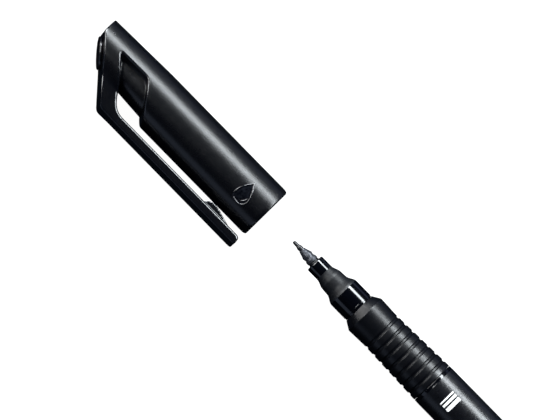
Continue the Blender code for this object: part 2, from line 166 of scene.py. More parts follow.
def node(tree, kind, inputs=None, **settings):
    """Adds a node. Each of its inputs is either a value or another node's output."""
    made = tree.nodes.new(kind)
    for name, value in settings.items():
        setattr(made, name, value)
    for name, value in (inputs or {}).items():
        if isinstance(value, bpy.types.NodeSocket):
            tree.links.new(value, made.inputs[name])
        else:
            made.inputs[name].default_value = value
    return made


def new_look(name, resting=True):
    """A material, its shader, and the surface's own place in millimetres."""
    look = bpy.data.materials.new(name)
    look.use_nodes = True
    tree = look.node_tree
    shader = tree.nodes["Principled BSDF"]
    if resting:
        place = node(tree, "ShaderNodeAttribute", attribute_name="resting").outputs["Vector"]
    else:
        own = node(tree, "ShaderNodeTexCoord").outputs["Object"]
        scaled = node(tree, "ShaderNodeVectorMath", {0: own, "Scale": 1 / MM}, operation="SCALE")
        place = scaled.outputs[0]
    return look, tree, shader, place


def noise(tree, place, scale, detail=3.0, roughness=0.55, stretch=None):
    """Noise with about scale spots to the millimetre, drawn out along the piece if stretch is given."""
    if stretch:
        place = node(tree, "ShaderNodeVectorMath", {0: place, 1: stretch}, operation="MULTIPLY").outputs[0]
    values = {"Vector": place, "Scale": scale, "Detail": detail, "Roughness": roughness}
    return node(tree, "ShaderNodeTexNoise", values).outputs["Fac"]


def spread(tree, value, low, high, to_low=0.0, to_high=1.0):
    """Maps low..high to to_low..to_high, without going past either."""
    values = {"Value": value, "From Min": low, "From Max": high, "To Min": to_low, "To Max": to_high}
    return node(tree, "ShaderNodeMapRange", values, clamp=True).outputs["Result"]


def arithmetic(tree, operation, a, b, clamp=False):
    return node(tree, "ShaderNodeMath", {0: a, 1: b}, operation=operation, use_clamp=clamp).outputs[0]


def blend_color(tree, share, first, second):
    values = {"Factor": share, "A": first, "B": second}
    made = tree.nodes.new("ShaderNodeMix")
    made.data_type = "RGBA"
    sockets = {"Factor": made.inputs[0], "A": made.inputs[6], "B": made.inputs[7]}
    for name, value in values.items():
        if isinstance(value, bpy.types.NodeSocket):
            tree.links.new(value, sockets[name])
        else:
            sockets[name].default_value = value
    return made.outputs[2]


def bumps(tree, shader, *layers):
    """Stacks bump layers, each a height from 0 to 1 with its depth in millimetres."""
    normal = None
    for height, depth in layers:
        values = {"Height": height, "Distance": depth * MM, "Strength": 1.0}
        if normal:
            values["Normal"] = normal
        normal = node(tree, "ShaderNodeBump", values).outputs["Normal"]
    tree.links.new(normal, shader.inputs["Normal"])


RUBBED = (0.007, 0.008, 0.011, 1)
CLOUDING = 0.02
WORN_GLOSS = 0.06
EDGE_GLOSS = 0.10
EDGE_SHINE = 0.6
LEAST_ROUGHNESS = 0.12
SLEEK_GRAIN = 0.25


def moulded(name, color, roughness, grain, mottle=0.004, wear=0.4, specular=0.5, sleek=None):
    """Moulded plastic: fine spark-eroded grain, clouded gloss, faint scuffs along the piece, polished edges.

    sleek holds a roughness, and two distances from the axis towards the clip between which it takes over.
    """
    look, tree, shader, place = new_look(name)
    clouds = noise(tree, place, 0.5, 4.0)
    spots = noise(tree, place, 1.9, 4.0, 0.6)
    fine = noise(tree, place, 8.0, 2.0)
    scuffs = spread(tree, noise(tree, place, 1.0, 5.0, 0.65, (2.6, 2.6, 0.18)), 0.60, 0.74)
    edges = spread(tree, node(tree, "ShaderNodeNewGeometry").outputs["Pointiness"], 0.508, 0.53)
    rubbed = arithmetic(tree, "MULTIPLY", edges, spread(tree, spots, 0.35, 0.65))
    worn = arithmetic(tree, "MAXIMUM", rubbed, arithmetic(tree, "MULTIPLY", scuffs, 0.2))
    worn = arithmetic(tree, "MULTIPLY", worn, wear)
    clouded = blend_color(tree, spread(tree, clouds, 0.3, 0.7), color, [0.75 * c for c in color[:3]] + [1])
    tree.links.new(blend_color(tree, worn, clouded, RUBBED), shader.inputs["Base Color"])
    gloss = spread(tree, clouds, 0.3, 0.7, roughness - CLOUDING, roughness + CLOUDING)
    gloss = arithmetic(tree, "SUBTRACT", gloss, arithmetic(tree, "MULTIPLY", worn, WORN_GLOSS))
    gloss = arithmetic(tree, "SUBTRACT", gloss, arithmetic(tree, "MULTIPLY", edges, EDGE_GLOSS))
    gloss = arithmetic(tree, "ADD", gloss, spread(tree, fine, 0.3, 0.7, -0.02, 0.02), True)
    if sleek:
        smooth, start, end = sleek
        reach = node(tree, "ShaderNodeSeparateXYZ", {0: place}).outputs["X"]
        gloss = arithmetic(tree, "SUBTRACT", gloss, spread(tree, reach, start, end, 0.0, roughness - smooth))
        gloss = arithmetic(tree, "MAXIMUM", gloss, LEAST_ROUGHNESS)
        fine = arithmetic(tree, "MULTIPLY", fine, spread(tree, reach, start, end, 1.0, SLEEK_GRAIN))
    tree.links.new(gloss, shader.inputs["Roughness"])
    shine = arithmetic(tree, "ADD", arithmetic(tree, "MULTIPLY", edges, EDGE_SHINE), specular)
    tree.links.new(shine, shader.inputs["Specular IOR Level"])
    bumps(tree, shader, (spots, mottle), (fine, grain))
    return look


def crimped_metal(name):
    """Thin pressed metal, dulled by ink: drawn lines round it, dark smudges, and paler edges."""
    look, tree, shader, place = new_look(name)
    lines = noise(tree, place, 1.0, 3.0, 0.6, (1.2, 1.2, 22.0))
    smudges = noise(tree, place, 2.2, 4.0)
    edges = spread(tree, node(tree, "ShaderNodeNewGeometry").outputs["Pointiness"], 0.52, 0.60)
    smudged = spread(tree, smudges, 0.3, 0.7)
    dull = blend_color(tree, smudged, (0.085, 0.088, 0.098, 1), (0.035, 0.037, 0.044, 1))
    tree.links.new(blend_color(tree, edges, dull, (0.17, 0.175, 0.19, 1)), shader.inputs["Base Color"])
    tree.links.new(spread(tree, smudges, 0.3, 0.7, 0.42, 0.58), shader.inputs["Roughness"])
    shader.inputs["Metallic"].default_value = 0.9
    bumps(tree, shader, (lines, 0.006), (smudges, 0.02))
    return look


def inked_fibre(name):
    """Pressed fibre soaked with dried ink: strands along the nib, glossy where the ink has dried."""
    look, tree, shader, place = new_look(name)
    strands = noise(tree, place, 1.0, 4.0, 0.6, (9.0, 9.0, 0.7))
    soaked = noise(tree, place, 2.8, 3.0)
    strand_share = spread(tree, strands, 0.35, 0.65)
    fibres = blend_color(tree, strand_share, (0.003, 0.003, 0.004, 1), (0.012, 0.012, 0.015, 1))
    inked = blend_color(tree, spread(tree, soaked, 0.5, 0.7), fibres, (0.002, 0.002, 0.003, 1))
    tree.links.new(inked, shader.inputs["Base Color"])
    tree.links.new(spread(tree, soaked, 0.35, 0.65, 0.42, 0.22), shader.inputs["Roughness"])
    bumps(tree, shader, (strands, 0.02))
    return look


def soft_liner(name):
    """Milky sealing plastic with flow marks and a little of the light let through."""
    look, tree, shader, place = new_look(name)
    clouds = noise(tree, place, 0.8, 3.0)
    flow = noise(tree, place, 1.0, 3.0, 0.5, (2.0, 2.0, 0.4))
    milky = blend_color(tree, clouds, (0.62, 0.62, 0.59, 1), (0.74, 0.74, 0.72, 1))
    tree.links.new(milky, shader.inputs["Base Color"])
    tree.links.new(spread(tree, flow, 0.3, 0.7, 0.34, 0.50), shader.inputs["Roughness"])
    shader.inputs["Subsurface Weight"].default_value = 0.3
    shader.inputs["Subsurface Radius"].default_value = (0.001, 0.001, 0.0008)
    bumps(tree, shader, (flow, 0.01))
    return look


def printed_ink(name):
    """White pad-printed ink: thin at its edges, with pinholes and a slightly dull surface."""
    look, tree, shader, place = new_look(name)
    cover = noise(tree, place, 3.0, 3.0)
    pinholes = noise(tree, place, 14.0, 2.0)
    white = blend_color(tree, spread(tree, cover, 0.35, 0.65), (0.86, 0.86, 0.85, 1), (0.95, 0.95, 0.94, 1))
    pierced = blend_color(tree, spread(tree, pinholes, 0.70, 0.76), white, (0.30, 0.30, 0.31, 1))
    tree.links.new(pierced, shader.inputs["Base Color"])
    tree.links.new(spread(tree, cover, 0.3, 0.7, 0.42, 0.58), shader.inputs["Roughness"])
    bumps(tree, shader, (cover, 0.006), (pinholes, 0.004))
    return look


def ink_felt(name):
    """Fibre rod soaked with black ink."""
    look, tree, shader, place = new_look(name, resting=False)
    strands = noise(tree, place, 1.0, 5.0, 0.65, (0.3, 6.0, 6.0))
    inked = blend_color(tree, strands, (0.006, 0.006, 0.010, 1), (0.05, 0.05, 0.07, 1))
    tree.links.new(inked, shader.inputs["Base Color"])
    tree.links.new(spread(tree, strands, 0.3, 0.7, 0.75, 0.95), shader.inputs["Roughness"])
    shader.inputs["Sheen Weight"].default_value = 0.2
    bumps(tree, shader, (strands, 0.08))
    return look


def wrap_film(name):
    """Clear film round the ink store, stained from inside."""
    look, tree, shader, place = new_look(name, resting=False)
    stains = noise(tree, place, 0.35, 4.0)
    creases = noise(tree, place, 1.0, 3.0, 0.5, (0.15, 2.0, 2.0))
    stained = blend_color(tree, stains, (0.16, 0.17, 0.20, 1), (0.42, 0.44, 0.47, 1))
    tree.links.new(stained, shader.inputs["Base Color"])
    tree.links.new(spread(tree, creases, 0.3, 0.7, 0.14, 0.30), shader.inputs["Roughness"])
    bumps(tree, shader, (creases, 0.02))
    return look


BLACK = (0.0007, 0.0009, 0.0018, 1)
SOFT_BLACK = (0.0011, 0.0014, 0.0025, 1)
NECK_GREY = (0.0030, 0.0036, 0.0050, 1)
CAP_LOOK = moulded("cap_satin", BLACK, 0.30, 0.024, mottle=0.0025, specular=0.44, sleek=(0.22, 1.5, 4.5))
BUTTON_LOOK = moulded("button_satin", BLACK, 0.32, 0.010)
EMBLEM_LOOK = moulded("emblem_gloss", BLACK, 0.12, 0.001, mottle=0.002, wear=0.8)
BARREL_LOOK = moulded("barrel_satin", BLACK, 0.37, 0.022, mottle=0.0025, specular=0.06)
GRIP_LOOK = moulded("grip_satin", SOFT_BLACK, 0.33, 0.018, mottle=0.0025, specular=0.27)
NOSE_GLOSS = moulded("nose_gloss", BLACK, 0.12, 0.0008, mottle=0.003, wear=0.3)
NOSE_SATIN = moulded("nose_satin", NECK_GREY, 0.46, 0.026, specular=0.26)
PLUG_LOOK = moulded("plug_satin", BLACK, 0.37, 0.022, mottle=0.0025, specular=0.06)


# ---------------------------------------------------------------- the cap and clip moulding

CAP_LENGTH = 48.77
CAP_R = 6.0
CAP_END_R = 5.6
CAP_TAPER_START = 33.0
MOUTH_ROUND = 1.1
MOUTH_LIP = 0.55
BORE_R = 5.0
BORE_DEPTH = 27.5
LINER_SEAT_R = 4.2
LINER_SEAT = 29.8
NARROW_BORE_R = 3.25
NARROW_BORE_END = 41.5
SLANT = math.radians(48)
SLANT_START_X = -1.82
ARM_THICK = 3.45
ARM_HALF_WIDTH = 4.3
ARM_INSIDE_X = -1.0
CLIP_OUT = 9.62
CLIP_IN = 7.7
CLIP_HALF_WIDTH = 3.35
CLIP_TIP = 0.22
CLIP_TIP_ROUND = 1.0
BEND_OUT_R = 1.8
BEND_IN_R = 4.4
TAPER_FROM = 34.0
TAPER_TO = 42.0
TOOTH_FOOT = 3.4
TOOTH_TOP = 7.8
TOOTH_BACK = 8.4
TOOTH_HEEL_R = 2.35
TOOTH_HALF_WIDTH = 2.55
TOOTH_GAP = 0.45
WINDOW_X = -1.4
WINDOW_ROOF_LEAN = 0.6
WINDOW_CORNER = 0.9
WINDOW_FRONT_TOP = 35.9
WINDOW_FRONT_FOOT = 30.1
CORE_R_FRONT = 4.67
CORE_R_BACK = 4.27
CORE_FRONT = 31.4
CORE_BACK = 38.6
BUTTON_X = 1.2
BUTTON_R = 3.4
BUTTON_PROUD = 0.65
BUTTON_UNDER = 0.15
BUTTON_PIN_R = 1.2
BUTTON_PIN_LENGTH = 2.4
FIT_GAP = 0.3
SPLIT_Z = 34.0
END_ROUND = 0.32
EDGE_ROUND = 0.42
CLIP_EDGE_ROUND = 0.58
WINDOW_ROUND = 0.30
JOIN_ROUND = 0.15
ARM_JOIN_ROUND = 0.9


def round_max(a, b, radius=0.0):
    """The larger of two distance fields, with the edge where they meet rounded off."""
    near = np.maximum(radius - np.abs(a - b), 0)
    return np.maximum(a, b) + near * near / (4 * np.maximum(radius, 1e-9))


def round_min(a, b, radius=0.0):
    return -round_max(-a, -b, radius)


def bend_round(radius, angle):
    """What round_max needs to round two planes that meet at this angle to a bend of this radius."""
    return radius * math.tan(angle / 2) * math.sin(angle)


def tube_field(r, w, v, z):
    """The cap's tube with its rounded mouth and end, less the window that bares its core."""
    shrink = (CAP_R - CAP_END_R) / (CAP_LENGTH - CAP_TAPER_START)
    side = r - CAP_R + shrink * np.maximum(z - CAP_TAPER_START, 0)
    tube = round_max(side, -z * MOUTH_LIP / MOUTH_ROUND, MOUTH_LIP)
    tube = round_max(tube, z - CAP_LENGTH, END_ROUND)
    lean = (WINDOW_FRONT_TOP - WINDOW_FRONT_FOOT) / (CAP_R - WINDOW_X)
    front = (WINDOW_FRONT_TOP - lean * (w - WINDOW_X) - z) / math.hypot(1, lean)
    roof_top = math.sqrt(CAP_R ** 2 - WINDOW_X ** 2)
    roof = WINDOW_X + WINDOW_ROOF_LEAN * np.maximum(roof_top - np.abs(v), 0) - w
    roof = roof / math.hypot(1, WINDOW_ROOF_LEAN)
    window = round_max(round_max(front, roof, WINDOW_CORNER), slant_field(w, z) + ARM_THICK, WINDOW_CORNER)
    core = r - CORE_R_FRONT + (z - CORE_FRONT) * (CORE_R_FRONT - CORE_R_BACK) / (CORE_BACK - CORE_FRONT)
    return round_max(tube, -round_max(window, -core, WINDOW_ROUND), WINDOW_ROUND)


def slant_field(w, z):
    """Height over the slanted end face."""
    return (w - SLANT_START_X) * math.cos(SLANT) + (z - CAP_LENGTH) * math.sin(SLANT)


def clip_field(w, v, z):
    """The arm and the bar with its tooth, not yet cut to their outer face."""
    under = -round_max(slant_field(w, z) + ARM_THICK, w - CLIP_IN, bend_round(BEND_IN_R, SLANT))
    solid = round_max(under, CLIP_TIP - z, CLIP_TIP_ROUND)
    solid = round_max(solid, ARM_INSIDE_X - w)
    widen = np.clip((z - TAPER_FROM) / (TAPER_TO - TAPER_FROM), 0, 1)
    half = CLIP_HALF_WIDTH + (ARM_HALF_WIDTH - CLIP_HALF_WIDTH) * widen * widen * (3 - 2 * widen)
    solid = round_max(solid, np.abs(v) - half, CLIP_EDGE_ROUND)
    return round_min(solid, tooth_field(w, v, z), JOIN_ROUND)


def tooth_field(w, v, z):
    """The tooth on the bar's inner face: narrower than the bar, sloped from its foot, rounded off behind."""
    top = CAP_R + TOOTH_GAP
    slope = (CLIP_IN - top) / (TOOTH_TOP - TOOTH_FOOT)
    ramp = (CLIP_IN - slope * (z - TOOTH_FOOT) - w) / math.hypot(1, slope)
    behind = np.maximum(z - TOOTH_BACK, 0)
    heel = np.hypot(behind, np.minimum(w - top - TOOTH_HEEL_R, 0)) - TOOTH_HEEL_R
    solid = round_max(round_max(ramp, heel, 0.3), np.abs(v) - TOOTH_HALF_WIDTH, 0.15)
    return np.maximum(solid, w - (CLIP_IN + CLIP_OUT) / 2)


def bore_field(r, z):
    narrow = (BORE_R - LINER_SEAT_R) / (LINER_SEAT - BORE_DEPTH)
    wide = np.maximum(r - BORE_R, z - BORE_DEPTH)
    cone = np.maximum(r - BORE_R + narrow * np.maximum(z - BORE_DEPTH, 0), z - LINER_SEAT)
    deep = np.maximum(r - NARROW_BORE_R, z - NARROW_BORE_END)
    return np.minimum(np.minimum(wide, cone), deep)


def socket_field(w, v, z):
    foot = (w - BUTTON_X, z - CAP_LENGTH + (BUTTON_X - SLANT_START_X) / math.tan(SLANT))
    height = foot[0] * math.cos(SLANT) + foot[1] * math.sin(SLANT)
    aside = foot[0] * math.sin(SLANT) - foot[1] * math.cos(SLANT)
    return np.maximum(np.hypot(aside, v) - BUTTON_PIN_R - FIT_GAP, -height - BUTTON_PIN_LENGTH - FIT_GAP)


def cap_field(points):
    """Signed distance, roughly, to the one moulding that the cap, its arm and its clip are."""
    w, v, z = points.T
    r = np.hypot(w, v)
    join = np.interp(z, (TAPER_FROM, TAPER_TO), (JOIN_ROUND, ARM_JOIN_ROUND))
    solid = round_min(tube_field(r, w, v, z), clip_field(w, v, z), join)
    outside = round_max(slant_field(w, z), w - CLIP_OUT, bend_round(BEND_OUT_R, SLANT))
    solid = round_max(solid, outside, EDGE_ROUND)
    solid = round_max(solid, -bore_field(r, z), 0.2)
    return round_max(solid, -socket_field(w, v, z), 0.1)


def spaced(*stretches):
    """Grid lines from (end, spacing) stretches after a starting value."""
    lines = [stretches[0]]
    for end, spacing in stretches[1:]:
        count = max(1, round((end - lines[-1]) / spacing))
        lines += list(np.linspace(lines[-1], end, count + 1)[1:])
    return np.array(lines)


def surface_net(field, axes):
    """Points and quads over the zero level of a field: one point in each grid cell that it crosses."""
    grid = np.stack(np.meshgrid(*axes, indexing="ij"), -1)
    values = field(grid.reshape(-1, 3)).reshape(grid.shape[:3])
    inside = values < 0
    cells = [n - 1 for n in values.shape]

    def at(array, offset):
        spans = tuple(slice(start, start + n) for start, n in zip(offset, cells))
        return array[spans]

    corners = [(i, j, k) for i in (0, 1) for j in (0, 1) for k in (0, 1)]
    full = sum(at(inside, corner).astype(int) for corner in corners)
    crossed = (full > 0) & (full < 8)
    number = np.full(cells, -1)
    number[crossed] = np.arange(crossed.sum())
    total = np.zeros((crossed.sum(), 3))
    hits = np.zeros(crossed.sum())
    for corner in corners:
        for axis in range(3):
            if corner[axis]:
                continue
            other = tuple(c + (i == axis) for i, c in enumerate(corner))
            near, far = at(values, corner)[crossed], at(values, other)[crossed]
            cut = (near < 0) != (far < 0)
            share = near / np.where(cut, near - far, 1)
            start, end = at(grid, corner)[crossed], at(grid, other)[crossed]
            total += np.where(cut[:, None], start + (end - start) * share[:, None], 0)
            hits += cut
    quads = []
    for axis in range(3):
        second, third = (axis + 1) % 3, (axis + 2) % 3
        length = values.shape[axis] - 1
        low, high = [slice(1, -1)] * 3, [slice(1, -1)] * 3
        low[axis], high[axis] = slice(0, length), slice(1, length + 1)
        first_in, second_in = inside[tuple(low)], inside[tuple(high)]
        ring = []
        for step_two, step_three in ((0, 0), (1, 0), (1, 1), (0, 1)):
            spans = [slice(0, length)] * 3
            spans[second] = slice(step_two, values.shape[second] - 2 + step_two)
            spans[third] = slice(step_three, values.shape[third] - 2 + step_three)
            ring.append(number[tuple(spans)])
        ring = np.stack(ring, -1)
        quads.append(ring[first_in & ~second_in])
        quads.append(ring[~first_in & second_in][:, ::-1])
    return total / hits[:, None], np.concatenate(quads)


def gradient(field, points):
    step = 0.01
    ways = np.eye(3) * step
    return np.stack([(field(points + way) - field(points - way)) / (2 * step) for way in ways], 1)


def onto_surface(field, points, rounds):
    """Moves points along the field's slope onto its zero level."""
    most = 0.12
    for _ in range(rounds):
        slope = gradient(field, points)
        steep = np.maximum((slope * slope).sum(1), 0.2)
        points = points - (np.clip(field(points), -most, most) / steep)[:, None] * slope
    return points


def relaxed(field, points, quads):
    """Evens out the points' spacing along the surface."""
    share = 0.5
    pairs = np.concatenate([quads[:, [i, (i + 1) % 4]] for i in range(4)])
    pairs = np.concatenate([pairs, pairs[:, ::-1]])
    counts = np.bincount(pairs[:, 0], minlength=len(points))
    for _ in range(2):
        sums = np.stack([np.bincount(pairs[:, 0], points[pairs[:, 1], i], len(points)) for i in range(3)], 1)
        points = points + share * (sums / counts[:, None] - points)
        points = onto_surface(field, points, 2)
    return points


def cap_and_bar():
    """The moulding as two closed halves that meet where the bar begins.

    Each is a tuple of points, faces and one normal for each face corner.
    """
    axes = (
        spaced(-6.3, (9.9, 0.19)),
        spaced(-6.2, (6.2, 0.19)),
        spaced(-0.4, (1.6, 0.18), (11.0, 0.26), (27.2, 0.9), (49.3, 0.19)),
    )
    points, quads = surface_net(cap_field, axes)
    points = onto_surface(cap_field, points, 3)
    points = relaxed(cap_field, points, quads)
    mesh = bmesh.new()
    for point in points:
        mesh.verts.new(point)
    mesh.verts.ensure_lookup_table()
    for quad in quads:
        mesh.faces.new([mesh.verts[i] for i in quad])
    bar_side = CAP_R + TOOTH_GAP / 2
    near = [f for f in mesh.faces if all(v.co.x > bar_side for v in f.verts)]
    near_edges = {e for f in near for e in f.edges}
    near_verts = {v for f in near for v in f.verts}
    bar_geometry = [*near, *near_edges, *near_verts]
    bmesh.ops.bisect_plane(mesh, geom=bar_geometry, dist=1e-5, plane_co=(0, 0, SPLIT_Z), plane_no=(0, 0, 1))
    centres = {f: f.calc_center_median() for f in mesh.faces}
    in_bar = {f for f, centre in centres.items() if centre.x > bar_side and centre.z < SPLIT_Z}
    halves = []
    for keep_bar in (False, True):
        half = mesh.copy()
        drop = [half_face for half_face, face in zip(half.faces, mesh.faces) if (face in in_bar) != keep_bar]
        bmesh.ops.delete(half, geom=drop, context="FACES")
        rim = [e for e in half.edges if e.is_boundary]
        made = bmesh.ops.holes_fill(half, edges=rim, sides=0)["faces"]
        end = Vector((0, 0, 1 if keep_bar else -1))
        for face in made:
            face.normal_update()
            if face.normal.dot(end) < 0:
                face.normal_flip()
        made = set(bmesh.ops.triangulate(half, faces=made)["faces"])
        half.verts.index_update()
        places = np.array([v.co for v in half.verts])
        slope = gradient(cap_field, places)
        slope /= np.linalg.norm(slope, axis=1)[:, None]
        faces, normals = [], []
        for face in half.faces:
            ids = [v.index for v in face.verts]
            faces.append(ids)
            normals += [tuple(end)] * len(ids) if face in made else [tuple(slope[i]) for i in ids]
        halves.append((places, faces, normals))
        half.free()
    mesh.free()
    return halves


def moulded_piece(name, points, faces, normals):
    piece = new_piece(name, points, faces, CAP, [CAP_LOOK])
    turn = CAP.to_3x3()
    piece.data.normals_split_custom_set([turn @ Vector(normal) for normal in normals])
    return piece


cap_half, bar_half = cap_and_bar()
settle_piece(moulded_piece("cap_moulding", *cap_half), "cap", "cap_plastic", "cap_shell")
clip_bar = moulded_piece("clip_bar", *bar_half)
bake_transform(clip_bar)
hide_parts("pocket_clip")


# ---------------------------------------------------------------- button and liner

def end_button():
    """A low disc with a rounded rim and a shallow dished middle, on the pin that holds it."""
    foot_z = CAP_LENGTH - (BUTTON_X - SLANT_START_X) / math.tan(SLANT)
    foot = Matrix.Translation(Vector((BUTTON_X, 0, foot_z)) * MM)
    stand = CAP @ foot @ Matrix.Rotation(math.pi / 2 - SLANT, 4, "Y")
    corners = [
        (0, BUTTON_PROUD - 0.12, 0),
        (BUTTON_R - 0.95, BUTTON_PROUD - 0.12, 0.3),
        (BUTTON_R - 0.75, BUTTON_PROUD, 0.3),
        (BUTTON_R, BUTTON_PROUD, 0.22),
        (BUTTON_R, BUTTON_UNDER, 0.05),
        (BUTTON_PIN_R, BUTTON_UNDER, 0.1),
        (BUTTON_PIN_R, -BUTTON_PIN_LENGTH, 0.15),
        (0, -BUTTON_PIN_LENGTH, 0),
    ]
    piece = turned("cap_button", corners, stand, [BUTTON_LOOK], sides=96)
    return settle_piece(piece, "cap", "button_plastic", "end_button")


def inner_cap():
    """The liner: a skirt at its mouth, a neck that seals on the nose, and a closed tube round the nib."""
    corners = [
        (0, 41.2, 0),
        (2.95, 41.2, 0.25),
        (2.95, 29.65, 0.5),
        (3.7, 29.0, 0.3),
        (3.7, 26.9, 0.4),
        (4.5, 25.6, 0.4),
        (4.5, 21.0, 0.2),
        (3.55, 21.0, 0.35),
        (3.55, 25.6, 0.5),
        (3.0, 26.9, 0.5),
        (3.0, 29.0, 0.4),
        (2.3, 30.2, 0.5),
        (2.3, 40.4, 0.4),
        (0, 40.4, 0),
    ]
    piece = turned("cap_liner", corners, CAP, [soft_liner("milky_liner")], sides=96)
    return settle_piece(piece, "liner", "liner_plastic", "inner_cap")


end_button()
inner_cap()


# ---------------------------------------------------------------- the pen

def fibre_point():
    """The nib and the feed rod behind it, in one piece."""
    corners = [
        (0, 52.0, 0),
        (0.575, 52.0, 0.1),
        (0.575, 1.62, 0.3),
        (0.40, 1.2, 0.4),
        (0.37, 0.25, 0.3),
        (0.20, 0.0, 0.15),
        (0, 0.0, 0),
    ]
    piece = turned("nib_point", corners, PEN, [inked_fibre("inked_fibre")], sides=64)
    return settle_piece(piece, "pen", "nib_fibre", "nib_core")


def metal_sleeve():
    """The pressed sleeve: its flare is crimped in eight shallow flutes behind the lip."""
    def crimp(angles, z):
        if z > 4.7:
            return np.ones_like(angles)
        depth = 0.055 * math.exp(-((z - 3.75) / 0.55) ** 2)
        return 1 - depth * (0.5 + 0.5 * np.cos(8 * angles))

    flare = [(0.70 + 0.50 * share ** 1.25, 2.4 + 1.5 * share, 0) for share in np.linspace(1, 0.08, 9)]
    corners = [
        (0.95, 12.0, 0.1),
        (0.95, 5.8, 0.1),
        (1.25, 5.52, 0.12),
        (1.25, 5.0, 0.15),
        (1.05, 4.5, 0.25),
        *flare,
        (0.72, 2.4, 0),
        (0.69, 2.42, 0),
        (0.69, 12.0, 0),
    ]
    look = crimped_metal("pressed_metal")
    piece = turned("nib_sleeve_crimped", corners, PEN, [look], sides=96, shape=crimp)
    return settle_piece(piece, "pen", "sleeve_metal", "nib_sleeve")


COLLAR_1_R = 1.975
COLLAR_1_END = 8.73
COLLAR_2_R = 3.5
COLLAR_2_START = 14.2
COLLAR_2_EASE = 0.25


def eased(start, end):
    """Profile points on an easy curve from one (r, z) to another."""
    curve = []
    for share in np.linspace(0, 1, 9):
        ease = 0.5 - 0.5 * math.cos(math.pi * share)
        curve.append((start[0] + (end[0] - start[0]) * ease, start[1] + (end[1] - start[1]) * share, 0))
    return curve


def nose():
    """The stepped nose, with polished collars and a satin neck between them."""
    ramp = eased((COLLAR_2_R, COLLAR_2_START + COLLAR_2_EASE), (2.63, 12.2))
    swell = eased((2.55, 10.9), (COLLAR_1_R, COLLAR_1_END))
    corners = [
        (3.0, 24.5, 0.15),
        (3.0, 18.66, 0.05),
        (3.42, 18.66, 0.05),
        (3.42, 18.30, 0),
        (3.52, 18.22, 0.06),
        (3.52, 18.05, 0.06),
        (COLLAR_2_R, 18.0, 0.03),
        *ramp,
        *swell,
        (COLLAR_1_R, 5.97, 0.32),
        (1.22, 5.97, 0.05),
        (1.16, 5.66, 0.08),
        (1.0, 5.66, 0.02),
        (1.0, 6.2, 0),
        (1.2, 6.3, 0),
        (1.2, 12.3, 0),
        (0.9, 12.3, 0),
        (0.9, 24.5, 0),
    ]

    def polished(z):
        on_front = 5.9 < z < COLLAR_1_END + 0.02
        on_rear = COLLAR_2_START + 0.1 < z < 18.7
        return 0 if on_front or on_rear else 1

    piece = turned("nib_nose", corners, PEN, [NOSE_GLOSS, NOSE_SATIN], look_at=polished)
    return settle_piece(piece, "pen", "holder_plastic", "nib_holder")


GRIP_WAIST = 24.5
GRIP_WAIST_R = 4.42
GRIP_REAR_R = 4.88
GRIP_END = 39.5


def grip_radius(z):
    """The grip's ridge line, which widens evenly from the waist to the barrel."""
    return GRIP_WAIST_R + (GRIP_REAR_R - GRIP_WAIST_R) * (z - GRIP_WAIST) / (GRIP_END - GRIP_WAIST)


def grip():
    """The grip: a cone up from the nose, then seven grooves along a slightly widening body."""
    first, pitch, half, floor_half, depth = 25.4, 2.09, 0.42, 0.16, 0.22
    corners = [(3.95, 46.0, 0.15), (3.95, GRIP_END, 0), (GRIP_REAR_R, GRIP_END, 0.15)]
    for groove in reversed(range(7)):
        middle = first + pitch * groove
        floor = grip_radius(middle) - depth
        corners += [
            (grip_radius(middle + half), middle + half, 0.09),
            (floor, middle + floor_half, 0.08),
            (floor, middle - floor_half, 0.08),
            (grip_radius(middle - half), middle - half, 0.09),
        ]
    corners += [
        (GRIP_WAIST_R, GRIP_WAIST, 3.0),
        (4.575, 20.45, 0.25),
        (3.52, 18.7, 0.08),
        (3.3, 18.7, 0.05),
        (3.3, 24.8, 0),
        (3.0, 25.1, 0),
        (3.0, 46.0, 0),
    ]
    piece = turned("grip", corners, PEN, [GRIP_LOOK])
    return settle_piece(piece, "pen", "grip_plastic", "grip_section")


BARREL_R = 4.915
BARREL_RING_END = 40.3


def barrel():
    """A plain tube whose front edge is a narrow polished ring."""
    corners = [
        (BARREL_R, 121.0, 0.18),
        (BARREL_R, BARREL_RING_END + 0.04, 0),
        (BARREL_R - 0.03, BARREL_RING_END, 0),
        (BARREL_R - 0.03, 39.6, 0.12),
        (4.25, 39.6, 0.05),
        (4.25, 121.0, 0.05),
    ]

    def ringed(z):
        return 1 if z < BARREL_RING_END else 0

    piece = turned("pen_barrel", corners, PEN, [BARREL_LOOK, NOSE_GLOSS], look_at=ringed)
    return settle_piece(piece, "pen", "barrel_plastic", "barrel")


def tail():
    """The plug that closes the barrel, slightly narrower than it and flat at its end."""
    corners = [
        (0, 131.0, 0),
        (4.2, 131.0, 0.45),
        (4.4, 121.1, 0.08),
        (3.95, 121.1, 0),
        (3.95, 113.5, 0.15),
        (3.0, 113.5, 0.1),
        (3.0, 128.9, 0.3),
        (0, 129.0, 0),
    ]
    piece = turned("tail_end", corners, PEN, [PLUG_LOOK])
    return settle_piece(piece, "pen", "plug_plastic", "tail_plug")


fibre_point()
metal_sleeve()
nose()
grip()
barrel()
tail()


# ---------------------------------------------------------------- marks

FACING = math.radians(9.5)


def wrapped(radius, along, around, height, flip):
    """A point on a turned surface: along the axis, and this far round it from the side that faces up."""
    angle = flip * (math.pi / 2 - FACING) - flip * around / radius
    reach = radius + height
    return (reach * math.cos(angle), reach * math.sin(angle), along)


def creased_piece(name, points, faces, place, look, crease):
    """A piece whose faces all look outwards, with sharp edges where they meet past an angle in degrees."""
    piece = new_piece(name, points, faces, place, [look])
    mesh = bmesh.new()
    mesh.from_mesh(piece.data)
    bmesh.ops.recalc_face_normals(mesh, faces=mesh.faces)
    mesh.to_mesh(piece.data)
    mesh.free()
    piece.data.set_sharp_from_angle(angle=math.radians(crease))
    return piece


